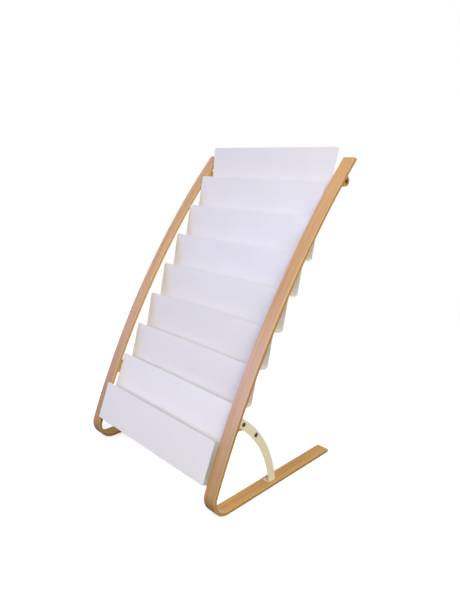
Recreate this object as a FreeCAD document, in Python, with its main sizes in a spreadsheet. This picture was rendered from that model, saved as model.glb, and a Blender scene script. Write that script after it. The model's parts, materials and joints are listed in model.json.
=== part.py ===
import FreeCAD, Part
import Sketcher
import math
import os
from FreeCAD import Placement, Rotation, Vector

# Tiered brochure rack: two bent laminated side frames carry a leaning stack of folded sheet shelves.
# Right is +X seen from the front, the feet run back along +Y, +Z is up, and the front faces -Y.
# The origin is on the floor under the middle of the rack's box.
# Every side outline is drawn in a (y, z) plane whose y = 0 is the centre of the frames' heel bend.

DIMENSIONS = {
    # overall and side frames
    "overall_width": 830.0,
    "heel_to_centre": 306.3,
    "strip_width": 55.0,
    "strip_thickness": 14.4,
    "heel_radius": 71.0,
    "upright_lean": 22.0,
    "upright_arc_radius": 3680.0,
    "upright_height": 1249.0,
    "foot_run": 604.0,
    "arris_radius": 1.3,
    # folded sheet shelves
    "shelf_width": 712.0,
    "shelf_length": 301.0,
    "sheet_thickness": 1.5,
    "fold_radius": 1.5,
    "corner_radius": 9.0,
    "top_edge_run": 646.8,
    "top_edge_height": 1287.5,
    "tier_run": 80.4,
    "tier_rise": 128.1,
    "flange_height": 15.0,
    "lip_height": 5.0,
    "lip_inset": 8.0,
    "shelf_1_lean": 11.0,
    "shelf_2_lean": 12.0,
    "shelf_3_lean": 12.0,
    "shelf_4_lean": 12.0,
    "shelf_5_lean": 12.5,
    "shelf_6_lean": 13.5,
    "shelf_7_lean": 16.5,
    "tray_lean": 22.0,
    "tray_length": 303.7,
    "tray_depth": 44.1,
    "tray_front_height": 164.3,
    "top_shelf_taper": 4.65,
    "panel_height": 155.0,
    "panel_overhang": 8.0,
    # blocks behind the uprights and the top cross rail
    "block_radius": 20.0,
    "upper_block_drop": 0.0,
    "lower_block_drop": 2.5,
    "block_length": 46.0,
    "lower_block_length": 39.0,
    "block_gap": 0.4,
    "upper_axis_run": 634.7,
    "upper_axis_height": 1160.7,
    "lower_axis_run": 87.3,
    "lower_axis_height": 326.7,
    "rail_length": 719.2,
    "dowel_diameter": 8.0,
    "dowel_length": 30.0,
    "dowel_in_frame": 9.0,
    "dowel_inset": 12.0,
    "dowel_spacing": 18.0,
    # arc braces and the tie bar between them
    "brace_centre_run": -218.0,
    "brace_centre_height": -32.0,
    "brace_inner_radius": 452.6,
    "brace_outer_radius": 488.0,
    "brace_thickness": 3.0,
    "brace_tab_length": 31.0,
    "brace_screw_inset": 18.5,
    "brace_end_gap": 1.0,
    "tie_axis_run": 152.3,
    "tie_axis_height": 259.3,
    "tie_bar_diameter": 16.0,
    # bolts, screws and rivets
    "bolt_diameter": 8.0,
    "bolt_hole_diameter": 8.6,
    "bolt_head_diameter": 17.0,
    "bolt_head_height": 4.5,
    "bolt_crown_diameter": 8.0,
    "bolt_socket_diameter": 4.8,
    "bolt_socket_depth": 2.5,
    "bolt_end_clearance": 2.0,
    "insert_diameter": 12.0,
    "insert_length": 22.0,
    "lug_thickness": 3.0,
    "lug_size": 40.0,
    "lug_back_reach": 16.0,
    "nut_width": 13.0,
    "nut_height": 6.5,
    "screw_diameter": 4.5,
    "screw_head_diameter": 9.0,
    "screw_head_height": 2.6,
    "screw_crown_diameter": 4.0,
    "screw_length": 11.0,
    "screw_tip": 3.0,
    "screw_end_clearance": 1.0,
    "stud_diameter": 5.0,
    "stud_nut_width": 8.0,
    "stud_nut_height": 4.0,
    "stud_tip": 2.0,
    "stud_seat_depth": 22.0,
    "nut_seat_diameter": 13.0,
    "rivet_diameter": 4.0,
    "rivet_hole_diameter": 4.4,
    "rivet_head_diameter": 8.0,
    "rivet_head_height": 1.2,
    "rivet_crown_diameter": 3.0,
    "rivet_tail_diameter": 6.0,
    "rivet_tail_height": 1.6,
    "rivet_slack": 0.4,
    "rivet_drop": 9.0,
}
SHELF_COUNT = 7
RIVET_PLACES = (-290.0, -97.0, 97.0, 290.0)
STUD_PLACES = (-240.0, 0.0, 240.0)
INNER_EDGE = "(Dimensions.overall_width / 2 - Dimensions.strip_width)"
OVERCUT = 1.0
TOLERANCE = 1e-6
DOME_STEPS = 6
HALVINGS = 60
BACK = Vector(0, 1, 0)
RIGHT = Vector(1, 0, 0)
LEFT = Vector(-1, 0, 0)
UP = Vector(0, 0, 1)
DOWN = Vector(0, 0, -1)

doc = FreeCAD.newDocument("brochure_rack")
sheet = doc.addObject("Spreadsheet::Sheet", "Dimensions")
parts = []


def fill_sheet():
    """Writes each driving dimension beside its name, with the name as the cell's alias."""
    for row, (name, value) in enumerate(DIMENSIONS.items(), start=1):
        sheet.set(f"A{row}", name)
        sheet.set(f"B{row}", str(value))
        sheet.setAlias(f"B{row}", name)
    doc.recompute()


def dim(name):
    """The sheet's value of a driving dimension."""
    return float(sheet.get(name))


def new_body(label, base_x="0", base_y="0", base_z="0"):
    """A body named after its node, moved so that the rack's middle is at y = 0."""
    body = doc.addObject("PartDesign::Body", label)
    body.Label = label
    body.setExpression(".Placement.Base.x", base_x)
    body.setExpression(".Placement.Base.y", f"{base_y} - Dimensions.heel_to_centre")
    body.setExpression(".Placement.Base.z", base_z)
    parts.append(body)
    return body


def plane_of(body, role):
    return next(feature for feature in body.Origin.OriginFeatures if feature.Role == role)


def new_sketch(body, role, name, start=Vector(), turn=Rotation()):
    """A sketch on one of the body's origin planes, moved to a start point and turned."""
    sketch = body.newObject("Sketcher::SketchObject", name)
    sketch.AttachmentSupport = [(plane_of(body, role), "")]
    sketch.MapMode = "FlatFace"
    sketch.AttachmentOffset = Placement(start, turn)
    return sketch


def pad(body, sketch, length, name, symmetric=False):
    feature = body.newObject("PartDesign::Pad", name)
    feature.Profile = sketch
    feature.setExpression("Length", length)
    feature.SideType = "Symmetric" if symmetric else "One side"
    doc.recompute()
    return feature


def pocket(body, sketch, length, name, backwards=False):
    """Cuts against the sketch's normal, and stops if it removes nothing."""
    before = body.Tip.Shape.Volume
    feature = body.newObject("PartDesign::Pocket", name)
    feature.Profile = sketch
    feature.Length = length
    feature.Reversed = backwards
    doc.recompute()
    if feature.Shape.Volume > before - TOLERANCE:
        raise RuntimeError(f"{body.Label}.{name} cuts nothing")


def add_circle(sketch, across, along, diameter):
    """A circle held by its distances from the sketch's origin and the sheet's diameter."""
    circle = sketch.addGeometry(Part.Circle(Vector(across, along, 0), UP, dim(diameter) / 2))
    sizes = (("DistanceX", across), ("DistanceY", along))
    for kind, value in sizes:
        if abs(value) > TOLERANCE:
            sketch.addConstraint(Sketcher.Constraint(kind, -1, 1, circle, 3, value))
    number = sketch.addConstraint(Sketcher.Constraint("Diameter", circle, dim(diameter)))
    sketch.setExpression(f"Constraints[{number}]", f"Dimensions.{diameter}")


def drill(body, point, direction, diameter, depth, name):
    """A round hole that starts at a point of the body's own frame and runs along a direction."""
    turn = Rotation(UP, direction.negative())
    sketch = new_sketch(body, "XY_Plane", f"{name}_circle", point, turn)
    add_circle(sketch, 0, 0, diameter)
    pocket(body, sketch, depth, name)


def line(start, end):
    return Part.LineSegment(Vector(*start, 0), Vector(*end, 0))


def closed_lines(corners):
    """Straight edges from corner to corner and back to the first."""
    return [line(start, end) for start, end in zip(corners, corners[1:] + corners[:1])]


def arc(centre, radius, start_angle, end_angle):
    """An arc given in degrees, anticlockwise from start to end."""
    circle = Part.Circle(Vector(*centre, 0), UP, radius)
    return Part.ArcOfCircle(circle, math.radians(start_angle), math.radians(end_angle))


def on_circle(centre, radius, angle):
    turn = math.radians(angle)
    return (centre[0] + radius * math.cos(turn), centre[1] + radius * math.sin(turn))


def angle_at(centre, point):
    return math.degrees(math.atan2(point[1] - centre[1], point[0] - centre[0])) % 360


# ---- side frames -------------------------------------------------------------------------------


def heel_centre():
    return (0.0, dim("heel_radius"))


def upright_normal_angle():
    """Direction, in degrees, of the upright's front normal where the heel bend ends."""
    return 180.0 - dim("upright_lean")


def upright_centre():
    """Centre of the upright's long arc, which is tangent to the heel bend."""
    reach = dim("heel_radius") - dim("upright_arc_radius")
    return on_circle(heel_centre(), reach, upright_normal_angle())


def upright_angle(height, inset):
    """Angle on the upright's arc, inset from its front face, at a height above the floor."""
    radius = dim("upright_arc_radius") - inset
    return 180.0 - math.degrees(math.asin((height - upright_centre()[1]) / radius))


def upright_point(height, inset):
    """Point of the upright at a height, inset from its front face."""
    return on_circle(upright_centre(), dim("upright_arc_radius") - inset, upright_angle(height, inset))


def upright_back_normal(height):
    """Unit vector out of the upright's back face at a height."""
    angle = math.radians(upright_angle(height, dim("strip_thickness")))
    return Vector(0, -math.cos(angle), -math.sin(angle))


def frame_outline():
    """Foot, heel bend and long upright arc with a square top end, as one closed outline."""
    thick = dim("strip_thickness")
    heel = heel_centre()
    outer = dim("heel_radius")
    long_radius = dim("upright_arc_radius")
    turn = upright_normal_angle()
    end = upright_angle(dim("upright_height"), 0)
    front_top = on_circle(upright_centre(), long_radius, end)
    back_top = on_circle(upright_centre(), long_radius - thick, end)
    foot = dim("foot_run")
    return [
        line((0, 0), (foot, 0)),
        line((foot, 0), (foot, thick)),
        line((foot, thick), (0, thick)),
        arc(heel, outer - thick, turn, 270),
        arc(upright_centre(), long_radius - thick, end, turn),
        line(back_top, front_top),
        arc(upright_centre(), long_radius, end, turn),
        arc(heel, outer, turn, 270),
    ]


def make_side_frame(side):
    """One bent laminated strip: upright, heel and foot."""
    label = f"side_frame_{side}"
    body = new_body(label, INNER_EDGE if side == "right" else "-Dimensions.overall_width / 2")
    sketch = new_sketch(body, "YZ_Plane", f"{label}_outline")
    sketch.addGeometry(frame_outline(), False)
    strip = pad(body, sketch, "Dimensions.strip_width", f"{label}_strip")
    sides = []
    for number, face in enumerate(strip.Shape.Faces, start=1):
        if face.BoundBox.XLength < TOLERANCE:
            sides.append(f"Face{number}")
    arris = body.newObject("PartDesign::Fillet", f"{label}_arris")
    arris.Base = (strip, sides)
    arris.setExpression("Radius", "Dimensions.arris_radius")
    doc.recompute()
    for axis in ("upper", "lower"):
        height = dim(f"{axis}_axis_height")
        back = upright_point(height, dim("strip_thickness"))
        normal = upright_back_normal(height)
        for number, place in enumerate(dowel_places(side), start=1):
            mouth = Vector(place - frame_start(side), *back) + normal * OVERCUT
            depth = dim("dowel_in_frame") + OVERCUT
            name = f"{label}_{axis}_socket_{number}"
            drill(body, mouth, normal.negative(), "dowel_diameter", depth, name)
    screw_x = screw_place(side) - frame_start(side)
    mouth = Vector(screw_x, brace_foot_middle(), dim("strip_thickness") + OVERCUT)
    drill(body, mouth, DOWN, "screw_diameter", dim("screw_length") + OVERCUT, f"{label}_screw_hole")


def frame_start(side):
    """Lowest x of a side frame."""
    inner = dim("overall_width") / 2 - dim("strip_width")
    return inner if side == "right" else -dim("overall_width") / 2


def dowel_places(side):
    """X of the two dowels of a block, inset from the frame's inner edge."""
    inner = dim("overall_width") / 2 - dim("strip_width")
    first = inner + dim("dowel_inset")
    places = (first, first + dim("dowel_spacing"))
    return places if side == "right" else tuple(-place for place in places)


# ---- blocks, top rail and dowels ---------------------------------------------------------------


def block_outline(axis):
    """Round-backed block whose front follows the upright's back face."""
    centre = (dim(f"{axis}_axis_run"), dim(f"{axis}_axis_height") - dim(f"{axis}_block_drop"))
    radius = dim("block_radius")
    thick = dim("strip_thickness")
    low = upright_point(centre[1] - radius, thick)
    high = upright_point(centre[1] + radius, thick)
    face = dim("upright_arc_radius") - thick
    low_angle = upright_angle(low[1], thick)
    high_angle = upright_angle(high[1], thick)
    return [
        line(low, (centre[0], low[1])),
        arc(centre, radius, -90, 90),
        line((centre[0], high[1]), high),
        arc(upright_centre(), face, high_angle, low_angle),
    ]


def make_block(axis, side, length):
    """A cheek block glued and dowelled to the back of one upright, bored along X for its bolt."""
    label = f"{axis}_block_{side}"
    right_base = f"{INNER_EDGE} + Dimensions.block_gap"
    left_base = f"-{INNER_EDGE} - Dimensions.block_gap - Dimensions.{length}"
    body = new_body(label, right_base if side == "right" else left_base)
    sketch = new_sketch(body, "YZ_Plane", f"{label}_outline")
    sketch.addGeometry(block_outline(axis), False)
    pad(body, sketch, f"Dimensions.{length}", f"{label}_core")
    run = dim(f"{axis}_axis_run")
    height = dim(f"{axis}_axis_height")
    mouth = Vector(-OVERCUT, run, height)
    drill(body, mouth, RIGHT, "bolt_hole_diameter", dim(length) + 2 * OVERCUT, f"{label}_bolt_hole")
    back = upright_point(height, dim("strip_thickness"))
    normal = upright_back_normal(height)
    start = block_inner_end() if side == "right" else -block_inner_end() - dim(length)
    for number, place in enumerate(dowel_places(side), start=1):
        mouth = Vector(place - start, *back) - normal * OVERCUT
        depth = dim("dowel_length") - dim("dowel_in_frame") + OVERCUT
        drill(body, mouth, normal, "dowel_diameter", depth, f"{label}_socket_{number}")


def block_inner_end():
    """Distance from the rack's middle to a block's inner end, just outside the frame's inner edge."""
    return dim("overall_width") / 2 - dim("strip_width") + dim("block_gap")


def make_dowels():
    """Glued dowels between every block and its upright."""
    solids = []
    radius = dim("dowel_diameter") / 2
    for axis in ("upper", "lower"):
        height = dim(f"{axis}_axis_height")
        normal = upright_back_normal(height)
        back = upright_point(height, dim("strip_thickness"))
        for side in ("left", "right"):
            for place in dowel_places(side):
                start = Vector(place, *back) - normal * dim("dowel_in_frame")
                solids.append(Part.makeCylinder(radius, dim("dowel_length"), start, normal))
    add_group("block_dowels", solids)


def rail_outline():
    """Round-backed rail whose flat front lies against the back of the top shelf."""
    centre = (dim("upper_axis_run"), dim("upper_axis_height"))
    radius = dim("block_radius")
    low = centre[1] - radius
    high = centre[1] + radius
    front_low = (shelf_back_run(1, low), low)
    front_high = (shelf_back_run(1, high), high)
    return [
        line(front_low, (centre[0], low)),
        arc(centre, radius, -90, 90),
        line((centre[0], high), front_high),
        line(front_high, front_low),
    ]


def make_top_rail():
    """The cross rail between the two upper blocks, with a sunk insert hole in each end."""
    label = "top_cross_rail"
    body = new_body(label)
    sketch = new_sketch(body, "YZ_Plane", f"{label}_outline")
    sketch.addGeometry(rail_outline(), False)
    pad(body, sketch, "Dimensions.rail_length", f"{label}_core", symmetric=True)
    end = dim("rail_length") / 2
    run = dim("upper_axis_run")
    height = dim("upper_axis_height")
    depth = dim("insert_length") + OVERCUT
    for side, inward, start in (("left", RIGHT, -end), ("right", LEFT, end)):
        mouth = Vector(start, run, height) - inward * OVERCUT
        drill(body, mouth, inward, "insert_diameter", depth, f"{label}_{side}_hole")
    through = 3 * dim("block_radius")
    for number, place in enumerate(STUD_PLACES, start=1):
        start = shelf_point(1, place, 0, rail_level())
        direction = shelf_turn(1).multVec(BACK)
        drill(body, start, direction, "stud_diameter", through, f"{label}_stud_hole_{number}")
        seat = start + direction * dim("stud_seat_depth")
        drill(body, seat, direction, "nut_seat_diameter", through, f"{label}_nut_seat_{number}")


def rail_level():
    """Height of the top rail's axis along the top shelf's own back plate, below its top edge."""
    drop = dim("upper_axis_height") - dim("top_edge_height")
    return drop / math.cos(math.radians(shelf_lean(1)))


# ---- folded sheet shelves ----------------------------------------------------------------------


def shelf_lean(number):
    return dim("tray_lean") if number > SHELF_COUNT else dim(f"shelf_{number}_lean")


def shelf_turn(number):
    """Turns a shelf's own frame, whose plate stands on z, to its lean."""
    return Rotation(RIGHT, -shelf_lean(number))


def shelf_top(number):
    """Front top edge of a shelf in the side plane; shelf 8 is the tray."""
    steps = number - 1
    run = dim("top_edge_run") - steps * dim("tier_run")
    height = dim("top_edge_height") - steps * dim("tier_rise")
    return (run, height)


def shelf_point(number, across, back, rise):
    """A point given in a shelf's own frame, moved to the side plane's frame."""
    local = shelf_turn(number).multVec(Vector(across, back, rise))
    return local + Vector(0, *shelf_top(number))


def shelf_back_run(number, height):
    """Run of the back face of a shelf's plate at a height."""
    lean = math.radians(shelf_lean(number))
    top = shelf_top(number)
    return top[0] + dim("sheet_thickness") / math.cos(lean) - (top[1] - height) * math.tan(lean)


def ledge_end(number):
    """Where a shelf's ledge meets the next plate's back: its depth and that plate's own rise."""
    turn = math.radians(shelf_lean(number + 1) - shelf_lean(number))
    corner = shelf_point(number, 0, 0, -dim("shelf_length"))
    shift = shelf_turn(number + 1).inverted().multVec(corner - Vector(0, *shelf_top(number + 1)))
    depth = (shift.y - dim("sheet_thickness")) / math.cos(turn)
    return depth, shift.z - depth * math.sin(turn)


def unit(start, end):
    length = math.hypot(end[0] - start[0], end[1] - start[1])
    return ((end[0] - start[0]) / length, (end[1] - start[1]) / length)


def offset_path(path, distance):
    """The path moved to its left by a distance, with its corners kept sharp."""
    moved = []
    last = len(path) - 1
    for index, point in enumerate(path):
        before = unit(path[max(index - 1, 0)], path[max(index - 1, 0) + 1])
        after = unit(path[min(index, last - 1)], path[min(index, last - 1) + 1])
        scale = distance / (1 + before[0] * after[0] + before[1] * after[1])
        shift = (-(before[1] + after[1]) * scale, (before[0] + after[0]) * scale)
        moved.append((point[0] + shift[0], point[1] + shift[1]))
    return moved


def rounded_path(path, left_radius, right_radius):
    """Lines and arcs along a path; a left turn and a right turn each have their own radius."""
    edges = []
    start = path[0]
    for before, corner, after in zip(path, path[1:], path[2:]):
        first = unit(before, corner)
        second = unit(corner, after)
        cross = first[0] * second[1] - first[1] * second[0]
        turn = math.atan2(cross, first[0] * second[0] + first[1] * second[1])
        radius = left_radius if turn > 0 else right_radius
        cut = radius * math.tan(abs(turn) / 2)
        near = (corner[0] - first[0] * cut, corner[1] - first[1] * cut)
        far = (corner[0] + second[0] * cut, corner[1] + second[1] * cut)
        side = math.copysign(radius, turn)
        centre = (near[0] - first[1] * side, near[1] + first[0] * side)
        edges.append(line(start, near))
        ends = (angle_at(centre, near), angle_at(centre, far))
        if turn < 0:
            ends = (ends[1], ends[0])
        edges.append(arc(centre, radius, ends[0], ends[1] + (360 if ends[1] < ends[0] else 0)))
        start = far
    edges.append(line(start, path[-1]))
    return edges


def folded_section(path):
    """Closed section of a folded sheet whose thickness lies to the left of its path."""
    thick = dim("sheet_thickness")
    tight = dim("fold_radius")
    wide = tight + thick
    shifted = offset_path(path, thick)
    section = rounded_path(path, wide, tight)
    section += rounded_path(shifted, tight, wide)
    section.append(line(path[0], shifted[0]))
    section.append(line(path[-1], shifted[-1]))
    return section


def round_corners(body, feature, rises, name):
    """Rounds the sheet's outer corners at the given rises of the shelf's own frame."""
    half = dim("shelf_width") / 2
    edges = []
    for number, edge in enumerate(feature.Shape.Edges, start=1):
        points = [vertex.Point for vertex in edge.Vertexes]
        if len(points) != 2 or abs(edge.Length - dim("sheet_thickness")) > TOLERANCE:
            continue
        at_side = all(abs(abs(point.x) - half) < TOLERANCE for point in points)
        at_rise = any(all(abs(point.z - rise) < TOLERANCE for point in points) for rise in rises)
        if at_side and at_rise:
            edges.append(f"Edge{number}")
    fillet = body.newObject("PartDesign::Fillet", name)
    fillet.Base = (feature, edges)
    fillet.setExpression("Radius", "Dimensions.corner_radius")
    doc.recompute()


def shelf_body(label, number):
    """An empty body whose frame is the shelf's: its plate's front top edge, turned to its lean."""
    steps = number - 1
    run = f"Dimensions.top_edge_run - {steps} * Dimensions.tier_run"
    height = f"Dimensions.top_edge_height - {steps} * Dimensions.tier_rise"
    body = new_body(label, "0", run, height)
    body.setExpression(".Placement.Rotation.Axis.x", "1")
    body.setExpression(".Placement.Rotation.Axis.z", "0")
    lean = "tray_lean" if number > SHELF_COUNT else f"shelf_{number}_lean"
    body.setExpression(".Placement.Rotation.Angle", f"-1 * Dimensions.{lean} * 1 deg")
    return body


def rivet_row(body, rise, depth, name, forwards):
    """A row of rivet holes across the shelf, cut backwards from its plate or forwards past it."""
    sketch = new_sketch(body, "XZ_Plane", f"{name}_circles")
    for place in RIVET_PLACES:
        add_circle(sketch, place, rise, "rivet_hole_diameter")
    pocket(body, sketch, depth, name, backwards=forwards)


def ledge_half(number):
    """Half the width of a shelf's ledge: the top shelf's ends slant in, the others are square."""
    half = dim("shelf_width") / 2
    if number > 1:
        return half
    return half - dim("shelf_length") * math.tan(math.radians(dim("top_shelf_taper")))


def taper_ends(body, label, depth):
    """Cuts the top shelf's two ends back along a slant that starts at its top corners."""
    outside = dim("shelf_width") / 2 + OVERCUT
    level = -dim("shelf_length")
    bottom = level - 2 * dim("flange_height")
    start = Vector(0, 0, -2 * dim("sheet_thickness"))
    reach = depth + 4 * dim("sheet_thickness")
    for side, hand in (("left", -1), ("right", 1)):
        corners = [
            (hand * dim("shelf_width") / 2, 0),
            (hand * ledge_half(1), level),
            (hand * ledge_half(1), bottom),
            (hand * outside, bottom),
            (hand * outside, 0),
        ]
        sketch = new_sketch(body, "XZ_Plane", f"{label}_{side}_slant_outline", start)
        sketch.addGeometry(closed_lines(corners), False)
        pocket(body, sketch, reach, f"{label}_{side}_slant", backwards=True)


def add_lips(body, label, depth, half):
    """Short turned-down lips that stiffen the two open ends of a ledge."""
    floor = -dim("shelf_length") - dim("sheet_thickness")
    corners = [
        (-dim("lip_inset"), floor),
        (-dim("lip_inset"), floor - dim("lip_height")),
        (dim("lip_inset") - depth, floor - dim("lip_height")),
        (dim("lip_inset") - depth, floor),
    ]
    inner_face = half - dim("sheet_thickness")
    sketch = new_sketch(body, "YZ_Plane", f"{label}_lip_outline", Vector(0, 0, inner_face))
    sketch.addGeometry(closed_lines(corners), False)
    lip = pad(body, sketch, "Dimensions.sheet_thickness", f"{label}_lip")
    mirror = body.newObject("PartDesign::Mirrored", f"{label}_lips")
    mirror.Originals = [lip]
    mirror.MirrorPlane = (plane_of(body, "YZ_Plane"), [""])
    body.Tip = mirror
    doc.recompute()


def make_shelf(number):
    """A back plate, a forward ledge and a turned-down flange riveted to the next plate's back."""
    label = f"shelf_{number}"
    body = shelf_body(label, number)
    length = dim("shelf_length")
    depth, next_rise = ledge_end(number)
    turn = math.radians(shelf_lean(number + 1) - shelf_lean(number))
    flange = dim("flange_height")
    flange_end = (-depth - flange * math.sin(turn), -length - flange * math.cos(turn))
    path = [(0, 0), (0, -length), (-depth, -length), flange_end]
    sketch = new_sketch(body, "YZ_Plane", f"{label}_section")
    sketch.addGeometry(folded_section(path), False)
    fold = pad(body, sketch, "Dimensions.shelf_width", f"{label}_fold", symmetric=True)
    if number == 1:
        taper_ends(body, label, depth)
        fold = body.Tip
    round_corners(body, fold, [0.0], f"{label}_corners")
    add_lips(body, label, depth, ledge_half(number))
    rivet_rise = -length - dim("rivet_drop") * math.cos(turn)
    rivet_row(body, rivet_rise, depth + flange, f"{label}_flange_holes", forwards=True)
    if number > 1:
        drill_plate(body, number, label)


def drill_plate(body, number, label):
    """Rivet holes through a shelf's own plate for the flange of the shelf above it."""
    rise = ledge_end(number - 1)[1] - dim("rivet_drop")
    rivet_row(body, rise, 2 * dim("sheet_thickness"), f"{label}_plate_holes", forwards=False)


def make_tray():
    """The lowest pocket: a back plate, a bottom and a front plate folded from one sheet."""
    label = "lower_tray"
    body = shelf_body(label, SHELF_COUNT + 1)
    length = dim("tray_length")
    depth = dim("tray_depth")
    top = -dim("panel_overhang")
    front_rise = dim("tray_front_height") - dim("sheet_thickness") - length
    path = [(0, top), (0, -length), (-depth, -length), (-depth, front_rise)]
    sketch = new_sketch(body, "YZ_Plane", f"{label}_section")
    sketch.addGeometry(folded_section(path), False)
    fold = pad(body, sketch, "Dimensions.shelf_width", f"{label}_fold", symmetric=True)
    round_corners(body, fold, [top, front_rise], f"{label}_corners")
    drill_plate(body, SHELF_COUNT + 1, label)


def make_back_panel():
    """The flat panel spot-welded to the front of the tray's back plate, standing up past its top."""
    label = "tray_back_panel"
    body = shelf_body(label, SHELF_COUNT + 1)
    thick = dim("sheet_thickness")
    corners = [(0, 0), (-thick, 0), (-thick, -dim("panel_height")), (0, -dim("panel_height"))]
    sketch = new_sketch(body, "YZ_Plane", f"{label}_section")
    sketch.addGeometry(closed_lines(corners), False)
    sheet_pad = pad(body, sketch, "Dimensions.shelf_width", f"{label}_sheet", symmetric=True)
    round_corners(body, sheet_pad, [0.0], f"{label}_corners")


# ---- arc braces and the tie bar ----------------------------------------------------------------


def brace_centre():
    return (dim("brace_centre_run"), dim("brace_centre_height"))


def brace_run(radius, height):
    """Run of a brace's arc of a given radius at a height."""
    centre = brace_centre()
    return centre[0] + math.sqrt(radius ** 2 - (height - centre[1]) ** 2)


def brace_foot_middle():
    """Middle of the brace's foot along Y."""
    level = dim("strip_thickness")
    return (brace_run(dim("brace_inner_radius"), level) + brace_run(dim("brace_outer_radius"), level)) / 2


def meet_upright(radius):
    """Where a brace's arc reaches the end gap behind the upright's back face."""
    centre = brace_centre()
    inset = dim("strip_thickness") + dim("brace_end_gap")
    low = dim("strip_thickness")
    high = centre[1] + radius
    for _ in range(HALVINGS):
        middle = (low + high) / 2
        if brace_run(radius, middle) > upright_point(middle, inset)[0]:
            low = middle
        else:
            high = middle
    return (brace_run(radius, low), low)


def brace_outline():
    """Quarter-arc plate from the foot's top face to the upright's back face."""
    level = dim("strip_thickness")
    centre = brace_centre()
    inner = dim("brace_inner_radius")
    outer = dim("brace_outer_radius")
    inner_foot = (brace_run(inner, level), level)
    outer_foot = (brace_run(outer, level), level)
    inner_top = meet_upright(inner)
    outer_top = meet_upright(outer)
    return [
        line(inner_foot, outer_foot),
        arc(centre, outer, angle_at(centre, outer_foot), angle_at(centre, outer_top)),
        line(outer_top, inner_top),
        arc(centre, inner, angle_at(centre, inner_foot), angle_at(centre, inner_top)),
    ]


def brace_start(side):
    """Lowest x of a brace's plate, which lies against the outer end of the lower block."""
    outer = block_inner_end() + dim("lower_block_length")
    return outer if side == "right" else -outer - dim("brace_thickness")


def make_brace(side):
    """A steel arc plate with a foot tab turned inwards on top of the side frame's foot."""
    label = f"arc_brace_{side}"
    thick = dim("brace_thickness")
    body = new_body(label)
    sketch = new_sketch(body, "YZ_Plane", f"{label}_outline", Vector(0, 0, brace_start(side)))
    sketch.addGeometry(brace_outline(), False)
    pad(body, sketch, "Dimensions.brace_thickness", f"{label}_plate")
    level = dim("strip_thickness")
    near = brace_run(dim("brace_inner_radius"), level)
    far = brace_run(dim("brace_outer_radius"), level)
    root = brace_start(side) + (0 if side == "right" else thick)
    tip = root + (-1 if side == "right" else 1) * dim("brace_tab_length")
    corners = [(root, near), (root, far), (tip, far - thick), (tip, near + thick)]
    tab_sketch = new_sketch(body, "XY_Plane", f"{label}_tab_outline", Vector(0, 0, level))
    tab_sketch.addGeometry(closed_lines(corners), False)
    pad(body, tab_sketch, "Dimensions.brace_thickness", f"{label}_tab")
    through = thick + 2 * OVERCUT
    for axis in ("lower", "tie"):
        mouth = Vector(brace_start(side) - OVERCUT, dim(f"{axis}_axis_run"), dim(f"{axis}_axis_height"))
        drill(body, mouth, RIGHT, "bolt_hole_diameter", through, f"{label}_{axis}_hole")
    mouth = Vector(screw_place(side), brace_foot_middle(), level + thick + OVERCUT)
    drill(body, mouth, DOWN, "screw_diameter", through, f"{label}_screw_hole")


def screw_place(side):
    """X of the screw that holds a brace's tab down to the foot."""
    inner = brace_start("right") - dim("brace_screw_inset")
    return inner if side == "right" else -inner


def make_tie_bar():
    """A round steel bar between the two braces, tapped at both ends."""
    label = "rear_tie_bar"
    body = new_body(label)
    sketch = new_sketch(body, "YZ_Plane", f"{label}_circle")
    add_circle(sketch, dim("tie_axis_run"), dim("tie_axis_height"), "tie_bar_diameter")
    length = f"2 * ({INNER_EDGE} + Dimensions.block_gap + Dimensions.lower_block_length)"
    pad(body, sketch, length, f"{label}_bar", symmetric=True)
    end = brace_start("right")
    depth = dim("insert_length") + OVERCUT
    for side, inward, start in (("left", RIGHT, -end), ("right", LEFT, end)):
        mouth = Vector(start, dim("tie_axis_run"), dim("tie_axis_height")) - inward * OVERCUT
        drill(body, mouth, inward, "bolt_diameter", depth, f"{label}_{side}_tapping")


# ---- lugs, bolts, nuts, screws, studs and rivets -----------------------------------------------


def add_group(label, solids):
    """One node that holds separate identical pieces, given in the side plane's frame."""
    group = doc.addObject("Part::Feature", label)
    group.Label = label
    group.Shape = Part.makeCompound(solids)
    group.Placement = Placement(Vector(0, -dim("heel_to_centre"), 0), Rotation())
    parts.append(group)


def revolved(profile, point, direction):
    """A turned piece: (radius, distance) corners spun about an axis that starts at a point."""
    corners = [Vector(radius, 0, distance) for radius, distance in profile]
    face = Part.Face(Part.makePolygon(corners + corners[:1]))
    turned = face.revolve(Vector(0, 0, 0), UP, 360)
    turned.Placement = Placement(point, Rotation(UP, direction))
    return turned


def dome(head, crown, height):
    """Corners of a rounded head of one radius, from the rim of its flat crown down to its seat."""
    corners = []
    for step in range(DOME_STEPS + 1):
        turn = math.pi / 2 * step / DOME_STEPS
        corners.append((crown + (head - crown) * math.sin(turn), -height * math.cos(turn)))
    return corners


def bolt(point, direction, length):
    """A button-head bolt whose head sits at the point and whose shank runs along the direction."""
    height = dim("bolt_head_height")
    shank = dim("bolt_diameter") / 2
    socket = dim("bolt_socket_diameter") / 2
    bottom = dim("bolt_socket_depth") - height
    profile = [(0, bottom), (socket, bottom), (socket, -height)]
    profile += dome(dim("bolt_head_diameter") / 2, dim("bolt_crown_diameter") / 2, height)
    profile += [(shank, 0), (shank, length), (0, length)]
    return revolved(profile, point, direction)


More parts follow.
